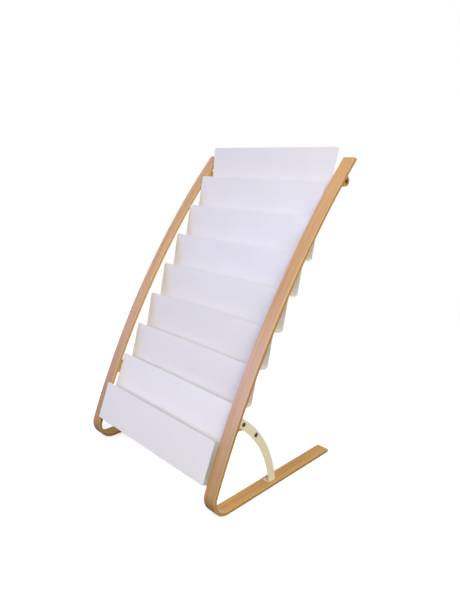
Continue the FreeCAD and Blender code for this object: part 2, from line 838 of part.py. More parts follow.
def make_bolts():
    """Cross bolts: through the upper blocks, through the lower blocks, and into the tie bar."""
    thick = dim("brace_thickness")
    spare = dim("bolt_end_clearance")
    upper_outside = block_inner_end() + dim("block_length")
    lower_outside = brace_start("right") + thick
    upper_reach = dim("block_length") + dim("insert_length") - spare
    lower_reach = lower_outside - lug_inner_x() + dim("nut_height") + spare
    rows = {
        "upper_rail_bolts": ("upper", upper_outside, upper_reach),
        "lower_block_bolts": ("lower", lower_outside, lower_reach),
        "tie_bar_bolts": ("tie", lower_outside, thick + dim("insert_length") - spare),
    }
    for label, (axis, outside, reach) in rows.items():
        centre = (dim(f"{axis}_axis_run"), dim(f"{axis}_axis_height"))
        pair = [bolt(Vector(outside, *centre), LEFT, reach), bolt(Vector(-outside, *centre), RIGHT, reach)]
        add_group(label, pair)


def ring(point, direction, outer, inner, length):
    """A plain tube used for threaded inserts."""
    profile = [(inner, 0), (outer, 0), (outer, length), (inner, length)]
    return revolved(profile, point, direction)


def make_inserts():
    """Threaded inserts sunk in the ends of the top rail."""
    centre = (dim("upper_axis_run"), dim("upper_axis_height"))
    end = dim("rail_length") / 2
    sizes = (dim("insert_diameter") / 2, dim("bolt_diameter") / 2, dim("insert_length"))
    pair = [ring(Vector(end, *centre), LEFT, *sizes), ring(Vector(-end, *centre), RIGHT, *sizes)]
    add_group("rail_inserts", pair)


def hex_nut(point, direction, width, height, bore):
    """A hexagon nut whose seat is at the point."""
    radius = width / math.sqrt(3)
    corners = [Vector(*on_circle((0, 0), radius, 60 * step), 0) for step in range(7)]
    body = Part.Face(Part.makePolygon(corners)).extrude(Vector(0, 0, height))
    nut = body.cut(Part.makeCylinder(bore / 2, height))
    nut.Placement = Placement(point, Rotation(UP, direction))
    return nut


def lug_inner_x():
    """X of the face of the right lug on which its nut sits."""
    return dim("overall_width") / 2 - dim("strip_width") - dim("lug_thickness")


def make_lug(side):
    """An angle lug spot-welded to the tray's back, with its outer leg against the lower block."""
    label = f"tray_lug_{side}"
    body = new_body(label)
    size = dim("lug_size")
    thick = dim("lug_thickness")
    axis = (dim("lower_axis_run"), dim("lower_axis_height"))
    low = axis[1] - size / 2
    high = axis[1] + size / 2
    back = axis[0] + dim("lug_back_reach")
    tray = SHELF_COUNT + 1
    plate_low = (shelf_back_run(tray, low), low)
    plate_high = (shelf_back_run(tray, high), high)
    corners = [plate_low, (back, low), (back, high), plate_high]
    start = lug_inner_x() if side == "right" else -lug_inner_x() - thick
    sketch = new_sketch(body, "YZ_Plane", f"{label}_leg_outline", Vector(0, 0, start))
    sketch.addGeometry(closed_lines(corners), False)
    pad(body, sketch, "Dimensions.lug_thickness", f"{label}_leg")
    slope = thick / math.cos(math.radians(shelf_lean(tray)))
    strip = [plate_low, (plate_low[0] + slope, low), (plate_high[0] + slope, high), plate_high]
    inner = start - size if side == "right" else start + thick
    flat = new_sketch(body, "YZ_Plane", f"{label}_flat_outline", Vector(0, 0, inner))
    flat.addGeometry(closed_lines(strip), False)
    pad(body, flat, "Dimensions.lug_size", f"{label}_flat")
    mouth = Vector(start - OVERCUT, *axis)
    drill(body, mouth, RIGHT, "bolt_hole_diameter", thick + 2 * OVERCUT, f"{label}_hole")


def make_lug_nuts():
    """Nuts of the lower block bolts, on the inner faces of the lugs."""
    axis = (dim("lower_axis_run"), dim("lower_axis_height"))
    sizes = (dim("nut_width"), dim("nut_height"), dim("bolt_diameter"))
    inner = lug_inner_x()
    pair = [hex_nut(Vector(inner, *axis), LEFT, *sizes), hex_nut(Vector(-inner, *axis), RIGHT, *sizes)]
    add_group("tray_lug_nuts", pair)


def make_tab_screws():
    """Pan-head wood screws through the braces' tabs into the feet."""
    head = dim("screw_head_diameter") / 2
    height = dim("screw_head_height")
    shank = dim("screw_diameter") / 2
    reach = dim("screw_length") + dim("brace_thickness") - dim("screw_end_clearance")
    profile = [(0, -height)]
    profile += dome(head, dim("screw_crown_diameter") / 2, height)
    profile += [(shank, 0), (shank, reach - dim("screw_tip")), (0, reach)]
    level = dim("strip_thickness") + dim("brace_thickness")
    solids = []
    for side in ("left", "right"):
        point = Vector(screw_place(side), brace_foot_middle(), level)
        solids.append(revolved(profile, point, DOWN))
    add_group("brace_tab_screws", solids)


def make_studs():
    """Welded studs on the back of the top shelf and the nuts that clamp it to the rail."""
    thick = dim("sheet_thickness")
    radius = dim("stud_diameter") / 2
    seat = dim("stud_seat_depth")
    height = dim("stud_nut_height")
    length = seat - thick + height + dim("stud_tip")
    direction = shelf_turn(1).multVec(BACK)
    studs = []
    nuts = []
    for place in STUD_PLACES:
        root = shelf_point(1, place, thick, rail_level())
        studs.append(Part.makeCylinder(radius, length, root, direction))
        seat_point = shelf_point(1, place, seat, rail_level())
        nuts.append(hex_nut(seat_point, direction, dim("stud_nut_width"), height, dim("stud_diameter")))
    add_group("top_shelf_studs", studs)
    add_group("top_shelf_nuts", nuts)


def make_rivets():
    """Rivets that hold each shelf's flange to the back of the next plate."""
    height = dim("rivet_head_height")
    shank = dim("rivet_diameter") / 2
    tail = dim("rivet_tail_diameter") / 2
    grip = 2 * dim("sheet_thickness") + dim("rivet_slack")
    end = grip + dim("rivet_tail_height")
    profile = [(0, -height)]
    profile += dome(dim("rivet_head_diameter") / 2, dim("rivet_crown_diameter") / 2, height)
    profile += [(shank, 0), (shank, grip), (tail, grip), (tail, end), (0, end)]
    solids = []
    for number in range(2, SHELF_COUNT + 2):
        direction = shelf_turn(number).multVec(BACK)
        rise = ledge_end(number - 1)[1] - dim("rivet_drop")
        for place in RIVET_PLACES:
            solids.append(revolved(profile, shelf_point(number, place, 0, rise), direction))
    add_group("shelf_rivets", solids)


# ---- the whole rack ----------------------------------------------------------------------------


def build_all():
    for side in ("left", "right"):
        make_side_frame(side)
        make_block("upper", side, "block_length")
        make_block("lower", side, "lower_block_length")
    make_dowels()
    make_top_rail()
    make_inserts()
    for number in range(1, SHELF_COUNT + 1):
        make_shelf(number)
    make_tray()
    make_back_panel()
    for side in ("left", "right"):
        make_brace(side)
        make_lug(side)
    make_tie_bar()
    make_bolts()
    make_lug_nuts()
    make_tab_screws()
    make_studs()
    make_rivets()


def check_all():
    """Stops if any object failed or any sub-part's shape is missing or not valid."""
    for item in doc.Objects:
        if "Invalid" in item.State or "Error" in item.State:
            raise RuntimeError(f"{item.Name} failed: {item.State}")
    for part in parts:
        if part.Shape.isNull() or not part.Shape.isValid():
            raise RuntimeError(f"{part.Label} has no valid shape")


def write_all():
    os.makedirs("parts", exist_ok=True)
    for part in parts:
        part.Shape.exportStep(f"parts/{part.Label}.step")


fill_sheet()
build_all()
doc.recompute()
check_all()
write_all()
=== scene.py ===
import json
import math

import bmesh
import bpy
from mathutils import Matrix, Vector


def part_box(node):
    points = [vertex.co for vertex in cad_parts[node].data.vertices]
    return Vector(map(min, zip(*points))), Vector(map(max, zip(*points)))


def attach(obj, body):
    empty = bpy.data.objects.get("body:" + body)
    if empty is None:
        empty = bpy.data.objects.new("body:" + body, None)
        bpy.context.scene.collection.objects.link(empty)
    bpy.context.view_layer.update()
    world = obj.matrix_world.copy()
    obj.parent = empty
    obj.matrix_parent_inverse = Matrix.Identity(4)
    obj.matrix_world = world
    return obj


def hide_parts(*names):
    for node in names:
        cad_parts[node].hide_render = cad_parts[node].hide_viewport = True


# A tiered brochure rack: bent beech side frames, white folded shelves and ivory arc braces.
# Metres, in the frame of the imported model: +X right, +Y to the back, +Z up.

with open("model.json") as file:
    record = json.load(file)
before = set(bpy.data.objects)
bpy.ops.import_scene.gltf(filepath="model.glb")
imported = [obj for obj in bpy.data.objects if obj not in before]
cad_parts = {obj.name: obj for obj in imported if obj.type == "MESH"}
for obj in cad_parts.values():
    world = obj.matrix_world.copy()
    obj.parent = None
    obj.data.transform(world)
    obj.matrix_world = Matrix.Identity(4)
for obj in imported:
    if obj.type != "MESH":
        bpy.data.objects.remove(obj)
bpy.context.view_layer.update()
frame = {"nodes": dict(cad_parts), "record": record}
nodes = frame["nodes"]

MM = 0.001

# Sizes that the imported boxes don't give, the same as in the part's own sheet.
HEEL_RUN = -306.3 * MM
HEEL_RADIUS = 71.0 * MM
FOOT_END = 297.7 * MM
STRIP_THICK = 14.4 * MM
ARRIS = 1.3 * MM
UPRIGHT_LEAN = 22.0
UPRIGHT_RADIUS = 3680.0 * MM
SHEET = 1.5 * MM
FOLD_RADIUS = 1.5 * MM
PLATE_WIDTH = 712.0 * MM
PLATE_LENGTH = 301.0 * MM
CORNER = 9.0 * MM
FLANGE = 15.0 * MM
LIP = 5.0 * MM
LIP_INSET = 8.0 * MM
TOP_TAPER = 4.65
TRAY_LENGTH = 303.7 * MM
TRAY_DEPTH = 44.1 * MM
TRAY_FRONT = 164.3 * MM
PANEL_HEIGHT = 155.0 * MM
PANEL_OVERHANG = 8.0 * MM
TOP_EDGE = (340.5 * MM, 1287.5 * MM)
TIER = (80.4 * MM, 128.1 * MM)
LEANS = (11.0, 12.0, 12.0, 12.0, 12.5, 13.5, 16.5, 22.0)
BRACE_CENTRE = (-524.3 * MM, -32.0 * MM)
BRACE_RADII = (452.6 * MM, 488.0 * MM)
BRACE_THICK = 3.0 * MM
BRACE_GAP = 1.0 * MM
BRACE_BEND = 3.5 * MM

# Bevels of the raw edges.
STRIP_ROUND = 0.9 * MM
SHEET_ROUND = 0.45 * MM
LIP_ROUND = 0.3 * MM
BLOCK_ROUND = 1.0 * MM
BRACE_ROUND = 0.5 * MM
HEAD_ROUND = 0.15 * MM

# Steps along the curves.
FOOT_STEPS = 25
HEEL_STEPS = 28
UPRIGHT_STEPS = 60
ARRIS_STEPS = 4
FOLD_STEPS = 6
CORNER_STEPS = 6
PLATE_COLUMNS = 12
PANEL_ROWS = 8
BLOCK_STEPS = 24
BLOCK_FRONT_STEPS = 8
BRACE_COLUMNS = 7
BRACE_STEPS = 40
BEND_STEPS = 7
HEAD_STEPS = 8
RING_POINTS = 48


# ---- mesh helpers --------------------------------------------------------------------------------


def linked(name, data):
    """A new object with this data, linked into the scene."""
    made = bpy.data.objects.new(name, data)
    bpy.context.scene.collection.objects.link(made)
    return made


def mesh_piece(name, verts, faces):
    """A new smooth-shaded object from lists of corners and faces, its normals turned outwards."""
    mesh = bpy.data.meshes.new(name)
    mesh.from_pydata([tuple(v) for v in verts], [], faces)
    work = bmesh.new()
    work.from_mesh(mesh)
    bmesh.ops.remove_doubles(work, verts=work.verts, dist=1e-6)
    bmesh.ops.recalc_face_normals(work, faces=work.faces)
    work.to_mesh(mesh)
    work.free()
    mesh.polygons.foreach_set("use_smooth", [True] * len(mesh.polygons))
    return linked(name, mesh)


def modify(piece, kind, **values):
    """Adds a modifier of a kind, with its settings."""
    modifier = piece.modifiers.new(kind.lower(), kind)
    for key, value in values.items():
        setattr(modifier, key, value)


def soften(piece, width, segments=2, angle=40.0):
    """Rounds every edge sharper than the angle and keeps the flat faces flat."""
    modify(piece, "BEVEL", width=width, segments=segments, limit_method="ANGLE",
           angle_limit=math.radians(angle))
    modify(piece, "WEIGHTED_NORMAL", weight=100)


def place(piece, slot, *replaced):
    """Rides the piece on the rack in its slot's material, standing for the named CAD nodes."""
    piece.data.materials.clear()
    piece.data.materials.append(MATERIALS[slot])
    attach(piece, "root")
    if replaced:
        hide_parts(*replaced)


def turn_point(centre, radius, degrees):
    """The point at an angle on a circle in a plane."""
    angle = math.radians(degrees)
    return (centre[0] + radius * math.cos(angle), centre[1] + radius * math.sin(angle))


def grid_faces(rows, columns):
    """Faces between the corners of an open grid that is listed row by row."""
    return [(r * columns + c, r * columns + c + 1, (r + 1) * columns + c + 1, (r + 1) * columns + c)
            for r in range(rows - 1) for c in range(columns - 1)]


def loft(rings):
    """Corners and faces of a closed solid through rings of equally many points."""
    count = len(rings[0])
    verts = [point for ring in rings for point in ring]
    faces = []
    for row in range(len(rings) - 1):
        for k in range(count):
            a, b = row * count + k, row * count + (k + 1) % count
            faces.append((a, b, b + count, a + count))
    faces.append(tuple(range(count)))
    faces.append(tuple(range((len(rings) - 1) * count, len(rings) * count)))
    return verts, faces


def join_parts(parts):
    """One list of corners and one of faces from several."""
    verts, faces = [], []
    for part_verts, part_faces in parts:
        base = len(verts)
        verts += part_verts
        faces += [tuple(base + i for i in face) for face in part_faces]
    return verts, faces


# ---- materials -----------------------------------------------------------------------------------


class Tree:
    """A short way to write a material's nodes."""

    def __init__(self, name):
        self.material = bpy.data.materials.new(name)
        self.material.use_nodes = True
        self.nodes = self.material.node_tree.nodes
        self.links = self.material.node_tree.links
        self.shader = self.nodes["Principled BSDF"]

    def add(self, kind, inputs=None, **values):
        """A new node with its settings, and its inputs fed by name or number."""
        node = self.nodes.new(kind)
        for key, value in values.items():
            setattr(node, key, value)
        for key, value in (inputs or {}).items():
            self.feed(node.inputs[key], value)
        return node

    def feed(self, socket, value):
        """Links another node's output to a socket, or sets the socket to a constant."""
        if isinstance(value, bpy.types.NodeSocket):
            self.links.new(value, socket)
        else:
            socket.default_value = value

    def math(self, operation, a, b=0.0):
        return self.add("ShaderNodeMath", {0: a, 1: b}, operation=operation).outputs[0]

    def span(self, value, low, high, to_low=0.0, to_high=1.0):
        """Maps low to high onto another range, and holds its ends outside it."""
        node = self.add("ShaderNodeMapRange", {"Value": value, "From Min": low, "From Max": high,
                                               "To Min": to_low, "To Max": to_high})
        return node.outputs["Result"]

    def stretch(self, vector, scale):
        node = self.add("ShaderNodeMapping", {"Vector": vector, "Scale": scale})
        return node.outputs["Vector"]

    def noise(self, vector, scale=1.0, detail=3.0, roughness=0.5, distortion=0.0):
        node = self.add("ShaderNodeTexNoise", {"Vector": vector, "Scale": scale, "Detail": detail,
                                               "Roughness": roughness, "Distortion": distortion})
        return node.outputs["Fac"]

    def mix(self, factor, a, b):
        """Mixes two colours; the factor, the colours and the result have these socket numbers."""
        node = self.add("ShaderNodeMix", data_type="RGBA")
        for number, value in ((0, factor), (6, a), (7, b)):
            self.feed(node.inputs[number], value)
        return node.outputs[2]

    def ramp(self, value, stops):
        """Colours a value by stops of (position, tint)."""
        node = self.add("ShaderNodeValToRGB", {"Fac": value})
        ramp = node.color_ramp
        while len(ramp.elements) < len(stops):
            ramp.elements.new(0.5)
        for element, (position, tint) in zip(ramp.elements, stops):
            element.position = position
            element.color = tint
        return node.outputs["Color"]

    def bump(self, height, strength, distance):
        node = self.add("ShaderNodeBump", {"Height": height, "Strength": strength,
                                           "Distance": distance})
        self.feed(self.shader.inputs["Normal"], node.outputs["Normal"])

    def set(self, **values):
        """Feeds the main shader's inputs, whose names have spaces for underscores."""
        for key, value in values.items():
            self.feed(self.shader.inputs[key.replace("_", " ")], value)


def colour(r, g, b):
    return (r, g, b, 1.0)


# Tones that the beech is mixed with. The last three are painted light: two painted shade tones for
# the strip near the heel, and a painted highlight tone for its arrises.
FIBRE = colour(0.30, 0.165, 0.08)
FLECK = colour(0.24, 0.12, 0.055)
PLY_SHADE = colour(0.36, 0.20, 0.07)
GLUE = colour(0.15, 0.075, 0.035)
EDGE_WARMTH = colour(0.58, 0.35, 0.09)
HEEL_SHADE_EDGE = colour(0.34, 0.19, 0.065)
HEEL_SHADE_FACE = colour(0.32, 0.175, 0.065)
ARRIS_HIGHLIGHT = colour(0.93, 0.72, 0.42)

PLIES = 8
PLY_THICK = STRIP_THICK / PLIES
FACE_MARGIN = 0.05 * MM
HEEL_ALONG = FOOT_END - HEEL_RUN + HEEL_RADIUS


def wood_tree(name, light, middle, dark, grain=None):
    """Beech with streaks, fibres and ray flecks along x, or along a strip's grain coordinates.

    The grain coordinates run along the strip, across it and into its plies, and the plies differ.
    """
    tree = Tree(name)
    if grain:
        vector = tree.add("ShaderNodeAttribute", attribute_name=grain).outputs["Vector"]
        split = tree.add("ShaderNodeSeparateXYZ", {"Vector": vector})
        along = split.outputs[0]
        deep = tree.math("ADD", split.outputs[2], FACE_MARGIN)
        layer = tree.math("FLOOR", tree.math("DIVIDE", deep, PLY_THICK))
        offset = tree.add("ShaderNodeCombineXYZ", {"X": tree.math("MULTIPLY", layer, 0.37),
                                                   "Y": tree.math("MULTIPLY", layer, 0.113)})
        vector = tree.add("ShaderNodeVectorMath", {0: vector, 1: offset.outputs["Vector"]},
                          operation="ADD").outputs["Vector"]
    else:
        vector = tree.add("ShaderNodeTexCoord").outputs["Object"]
    broad = tree.noise(tree.stretch(vector, (1.6, 38.0, 60.0)), detail=2.0, distortion=0.3)
    streak = tree.noise(tree.stretch(vector, (3.5, 190.0, 240.0)), detail=4.0, roughness=0.6)
    fibre = tree.noise(tree.stretch(vector, (26.0, 1500.0, 1500.0)), detail=3.0, roughness=0.65)
    cells = tree.stretch(vector, (170.0, 900.0, 900.0))
    flecks = tree.add("ShaderNodeTexVoronoi", {"Vector": cells, "Scale": 1.0}, feature="F1")
    fleck = tree.span(flecks.outputs["Distance"], 0.10, 0.30, 1.0, 0.0)
    sparse = tree.noise(tree.stretch(vector, (9.0, 60.0, 60.0)), detail=1.0)
    fleck = tree.math("MULTIPLY", fleck, tree.span(sparse, 0.48, 0.62))
    tone = tree.math("ADD", tree.math("MULTIPLY", broad, 0.45), tree.math("MULTIPLY", streak, 0.55))
    base = tree.ramp(tone, [(0.34, light), (0.52, middle), (0.69, dark)])
    base = tree.mix(tree.span(fibre, 0.25, 0.8, 0.0, 0.16), base, FIBRE)
    base = tree.mix(tree.math("MULTIPLY", fleck, 0.28), base, FLECK)
    if grain:
        base = edge_plies(tree, base, along, deep, layer)
    ridges = tree.math("MULTIPLY", fibre, 0.6)
    rough = tree.span(tree.math("ADD", streak, ridges), 0.5, 1.2, 0.40, 0.54)
    height = tree.math("ADD", ridges, tree.math("MULTIPLY", fleck, -0.5))
    tree.bump(height, 0.16, 0.00025)
    tree.set(Base_Color=base, Roughness=rough, IOR=1.45, Coat_Weight=0.15, Coat_Roughness=0.25,
             Coat_IOR=1.5)
    return tree.material


def edge_plies(tree, base, along, deep, layer):
    """Plies and glue lines on the strip's edges, painted highlights on the arrises, and painted
    shade that darkens the strip near the heel.

    The edges of the strip face sideways, so the normal's x tells them from its faces.
    """
    facing = tree.add("ShaderNodeNewGeometry")
    normal = tree.add("ShaderNodeSeparateXYZ", {"Vector": facing.outputs["Normal"]})
    sideways = tree.math("ABSOLUTE", normal.outputs[0])
    on_edge = tree.span(sideways, 0.75, 0.97)
    odd = tree.math("MODULO", layer, 2.0)
    draw = tree.add("ShaderNodeTexWhiteNoise", {"W": layer}, noise_dimensions="1D")
    step = tree.math("ADD", tree.math("MULTIPLY", odd, 0.6),
                     tree.math("MULTIPLY", draw.outputs["Value"], 0.4))
    tinted = tree.mix(tree.math("MULTIPLY", step, 0.55), base, PLY_SHADE)
    part = tree.math("FRACT", tree.math("DIVIDE", deep, PLY_THICK))
    line = tree.math("MINIMUM", part, tree.math("SUBTRACT", 1.0, part))
    glue = tree.span(line, 0.03, 0.10, 0.75, 0.0)
    tinted = tree.mix(glue, tinted, GLUE)
    tinted = tree.mix(0.25, tinted, EDGE_WARMTH)
    past_heel = tree.math("SUBTRACT", along, HEEL_ALONG)
    # Painted shade: darker edges on the foot and heel, and darker faces from the heel up, both
    # fading out by 0.8 m up the upright.
    upward = tree.span(past_heel, 0.15, 0.80, 0.34, 0.0)
    heel_shade = tree.math("MULTIPLY", upward, tree.span(past_heel, -0.10, 0.03))
    face = tree.mix(heel_shade, base, HEEL_SHADE_FACE)
    tinted = tree.mix(upward, tinted, HEEL_SHADE_EDGE)
    # Painted highlight: the rounded arrises between the strip's faces and edges are lightened.
    low, high = tree.span(sideways, 0.12, 0.40), tree.span(sideways, 0.75, 0.95, 1.0, 0.0)
    arris_highlight = tree.math("MULTIPLY", tree.math("MULTIPLY", low, high), 0.8)
    return tree.mix(arris_highlight, tree.mix(on_edge, face, tinted), ARRIS_HIGHLIGHT)


def powder_tree(name, tone, shade, roughness, edge_tone=None):
    """Powder coat: a faint orange-peel skin, slight mottling, and a thinner coat on raw edges."""
    tree = Tree(name)
    vector = tree.add("ShaderNodeTexCoord").outputs["Object"]
    mottle = tree.noise(vector, scale=9.0, detail=4.0, roughness=0.55)
    peel = tree.noise(vector, scale=720.0, detail=2.0, roughness=0.45)
    speck = tree.noise(vector, scale=2600.0, detail=1.0)
    base = tree.mix(tree.span(mottle, 0.3, 0.72), tone, shade)
    base = tree.mix(tree.span(speck, 0.68, 0.80, 0.0, 0.25), base, shade)
    if edge_tone:
        worn = tree.add("ShaderNodeNewGeometry").outputs["Pointiness"]
        base = tree.mix(tree.span(worn, 0.52, 0.60, 0.0, 0.6), base, edge_tone)
    rough = tree.span(mottle, 0.3, 0.75, roughness - 0.03, roughness + 0.05)
    tree.bump(peel, 0.22, 0.00012)
    tree.set(Base_Color=base, Roughness=rough, IOR=1.5)
    return tree.material


def steel_tree(name, tone, shade, roughness, metallic):
    """Turned or plated steel with faint rings of wear and a blotchy film."""
    tree = Tree(name)
    vector = tree.add("ShaderNodeTexCoord").outputs["Object"]
    blotch = tree.noise(vector, scale=160.0, detail=5.0, roughness=0.6)
    fine = tree.noise(tree.stretch(vector, (300.0, 2600.0, 2600.0)), detail=2.0)
    base = tree.mix(tree.span(blotch, 0.3, 0.7), tone, shade)
    rough = tree.span(blotch, 0.3, 0.7, roughness - 0.08, roughness + 0.08)
    tree.bump(fine, 0.12, 0.00006)
    tree.set(Base_Color=base, Roughness=rough, Metallic=metallic)
    return tree.material


BEECH = (colour(0.72, 0.435, 0.168), colour(0.625, 0.357, 0.127), colour(0.45, 0.235, 0.078))
SOLID = (colour(0.64, 0.40, 0.17), colour(0.55, 0.32, 0.13), colour(0.39, 0.205, 0.075))
MATERIALS = {
    "bent_beech": wood_tree("bent_beech", *BEECH, grain="grain"),
    "solid_beech": wood_tree("solid_beech", *SOLID),
    "white_powder_coat": powder_tree("white_powder_coat", colour(0.855, 0.84, 0.80),
                                     colour(0.835, 0.82, 0.78), 0.42),
    "ivory_powder_coat": powder_tree("ivory_powder_coat", colour(0.85, 0.80, 0.61),
                                     colour(0.82, 0.77, 0.58), 0.40, colour(0.87, 0.84, 0.72)),
    "dark_steel": steel_tree("dark_steel", colour(0.16, 0.125, 0.08), colour(0.09, 0.07, 0.045),
                             0.36, 0.85),
    "zinc_steel": steel_tree("zinc_steel", colour(0.60, 0.61, 0.63), colour(0.46, 0.46, 0.47),
                             0.34, 1.0),
}
for subpart in frame["record"]["subparts"]:
    node = nodes[subpart["node"]]
    node.data.materials.clear()
    node.data.materials.append(MATERIALS[subpart["material_slot"]])


# ---- side frames ---------------------------------------------------------------------------------

HEEL = (HEEL_RUN, HEEL_RADIUS)
HEEL_TOP = 180.0 - UPRIGHT_LEAN
HEEL_BOTTOM = 270.0
UPRIGHT_CENTRE = turn_point(HEEL, HEEL_RADIUS - UPRIGHT_RADIUS, HEEL_TOP)
FOOT_LENGTH = FOOT_END - HEEL_RUN
HEEL_LENGTH = HEEL_RADIUS * math.radians(HEEL_BOTTOM - HEEL_TOP)
CUT_LENGTH = 30.0 * MM


def upright_angle(height, inset):
    """Angle, on the uprights' arc, of the point at a height and this far inside the front."""
    radius = UPRIGHT_RADIUS - inset
    return 180.0 - math.degrees(math.asin((height - UPRIGHT_CENTRE[1]) / radius))


def upright_point(height, inset):
    """(y, z) of that point."""
    return turn_point(UPRIGHT_CENTRE, UPRIGHT_RADIUS - inset, upright_angle(height, inset))


def grain_place(point):
    """Where a point of the strip lies: along the strip, across it, and into its thickness."""
    x, y, z = point
    if y > HEEL_RUN and z < HEEL_RADIUS:
        return (FOOT_END - y, x, z)
    angle = math.degrees(math.atan2(z - HEEL[1], y - HEEL[0])) % 360
    if angle > HEEL_TOP and z < 2 * HEEL_RADIUS:
        reach = math.hypot(y - HEEL[0], z - HEEL[1])
        turned = HEEL_RADIUS * math.radians(HEEL_BOTTOM - angle)
        return (FOOT_LENGTH + turned, x, HEEL_RADIUS - reach)
    dy, dz = y - UPRIGHT_CENTRE[0], z - UPRIGHT_CENTRE[1]
    angle = math.degrees(math.atan2(dz, dy))
    climb = UPRIGHT_RADIUS * math.radians(HEEL_TOP - angle)
    return (FOOT_LENGTH + HEEL_LENGTH + climb, x, UPRIGHT_RADIUS - math.hypot(dy, dz))


def strip_section(low_x, high_x):
    """Rounded rectangle across the strip: (x, depth into the thickness)."""
    centres = ((high_x - ARRIS, STRIP_THICK - ARRIS, 0), (low_x + ARRIS, STRIP_THICK - ARRIS, 90),
               (low_x + ARRIS, ARRIS, 180), (high_x - ARRIS, ARRIS, 270))
    section = []
    for x, depth, start in centres:
        for step in range(ARRIS_STEPS + 1):
            section.append(turn_point((x, depth), ARRIS, start + 90.0 * step / ARRIS_STEPS))
    return section


def strip_stations(top):
    """Outer-face points of the strip with their inward normals, from the foot's end upwards."""
    stations = []
    for step in range(FOOT_STEPS):
        run = FOOT_END + (HEEL_RUN - FOOT_END) * step / FOOT_STEPS
        stations.append(((run, 0.0), (0.0, 1.0)))
    for step in range(HEEL_STEPS + 1):
        angle = HEEL_BOTTOM + (HEEL_TOP - HEEL_BOTTOM) * step / HEEL_STEPS
        inward = turn_point((0, 0), -1.0, angle)
        stations.append((turn_point(HEEL, HEEL_RADIUS, angle), inward))
    last = upright_angle(top, 0)
    for step in range(1, UPRIGHT_STEPS + 1):
        angle = HEEL_TOP + (last - HEEL_TOP) * step / UPRIGHT_STEPS
        inward = turn_point((0, 0), -1.0, angle)
        stations.append((turn_point(UPRIGHT_CENTRE, UPRIGHT_RADIUS, angle), inward))
    return stations


def cut(work, point, normal):
    """Cuts away what lies beyond a plane and closes the opening."""
    geometry = work.verts[:] + work.edges[:] + work.faces[:]
    made = bmesh.ops.bisect_plane(work, geom=geometry, plane_co=point, plane_no=normal,
                                  clear_outer=True)
    rim = [item for item in made["geom_cut"] if isinstance(item, bmesh.types.BMEdge)]
    bmesh.ops.edgeloop_fill(work, edges=rim)


def side_frame(side):
    """The bent strip, made too long and cut square at its top end, with its grain coordinates."""
    node = f"side_frame_{side}"
    low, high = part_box(node)
    rings = []
    for origin, inward in strip_stations(high.z + CUT_LENGTH):
        rings.append([Vector((x, origin[0] + inward[0] * depth, origin[1] + inward[1] * depth))
                      for x, depth in strip_section(low.x, high.x)])
    piece = mesh_piece(f"bent_frame_{side}", *loft(rings))
    work = bmesh.new()
    work.from_mesh(piece.data)
    end = math.radians(upright_angle(high.z, 0))
    cut(work, (0, *upright_point(high.z, 0)), (0, math.sin(end), -math.cos(end)))
    bmesh.ops.recalc_face_normals(work, faces=work.faces)
    work.to_mesh(piece.data)
    work.free()
    piece.data.polygons.foreach_set("use_smooth", [True] * len(piece.data.polygons))
    grain = piece.data.attributes.new("grain", "FLOAT_VECTOR", "POINT")
    places = [value for vertex in piece.data.vertices for value in grain_place(vertex.co)]
    grain.data.foreach_set("vector", places)
    soften(piece, STRIP_ROUND, angle=32.0)
    place(piece, "bent_beech", node)


for side in ("left", "right"):
    side_frame(side)


# ---- folded sheet shelves ------------------------------------------------------------------------


TRAY = len(LEANS)
LIP_ROOT = 0.8 * SHEET


def shelf_frame(number):
    """Start point and lean of a shelf's own frame; the last number is the tray's."""
    steps = number - 1
    start = (TOP_EDGE[0] - steps * TIER[0], TOP_EDGE[1] - steps * TIER[1])
    return start, math.radians(LEANS[steps])


def to_rack(number, y, z):
    """(y, z) on the rack of a point in a shelf's own frame."""
    start, lean = shelf_frame(number)
    return (start[0] + y * math.cos(lean) + z * math.sin(lean),
            start[1] - y * math.sin(lean) + z * math.cos(lean))


def ledge_depth(number):
    """How far a shelf's ledge runs forward to the next plate's back."""
    turn = shelf_frame(number + 1)[1] - shelf_frame(number)[1]
    corner = to_rack(number, 0, -PLATE_LENGTH)
    start, lean = shelf_frame(number + 1)
    ahead = (corner[0] - start[0]) * math.cos(lean) - (corner[1] - start[1]) * math.sin(lean)
    return (ahead - SHEET) / math.cos(turn), turn


def rounded_line(path, radius):
    """The path with each corner turned into an arc."""
    line = [Vector(path[0])]
    for before, corner, after in zip(path, path[1:], path[2:]):
        corner = Vector(corner)
        one = (Vector(before) - corner).normalized()
        two = (Vector(after) - corner).normalized()
        half = one.angle(two) / 2
        cut_back = radius / math.tan(half)
        centre = corner + (one + two).normalized() * (radius / math.sin(half))
        first, last = corner + one * cut_back - centre, corner + two * cut_back - centre
        turn = first.angle_signed(last)
        for k in range(FOLD_STEPS + 1):
            spin = -turn * k / FOLD_STEPS
            line.append(centre + Vector((first.x * math.cos(spin) - first.y * math.sin(spin),
                                         first.x * math.sin(spin) + first.y * math.cos(spin))))
    line.append(Vector(path[-1]))
    return line


def middle_path(path):
    """The path moved half a sheet to its left, which is the middle of the folded sheet."""
    moved = []
    last = len(path) - 1
    units = [(Vector(b) - Vector(a)).normalized() for a, b in zip(path, path[1:])]
    for index, point in enumerate(path):
        before, after = units[max(index - 1, 0)], units[min(index, last - 1)]
        scale = SHEET / 2 / (1 + before.dot(after))
        moved.append(Vector(point) + Vector((-(before.y + after.y), before.x + after.x)) * scale)
    return moved


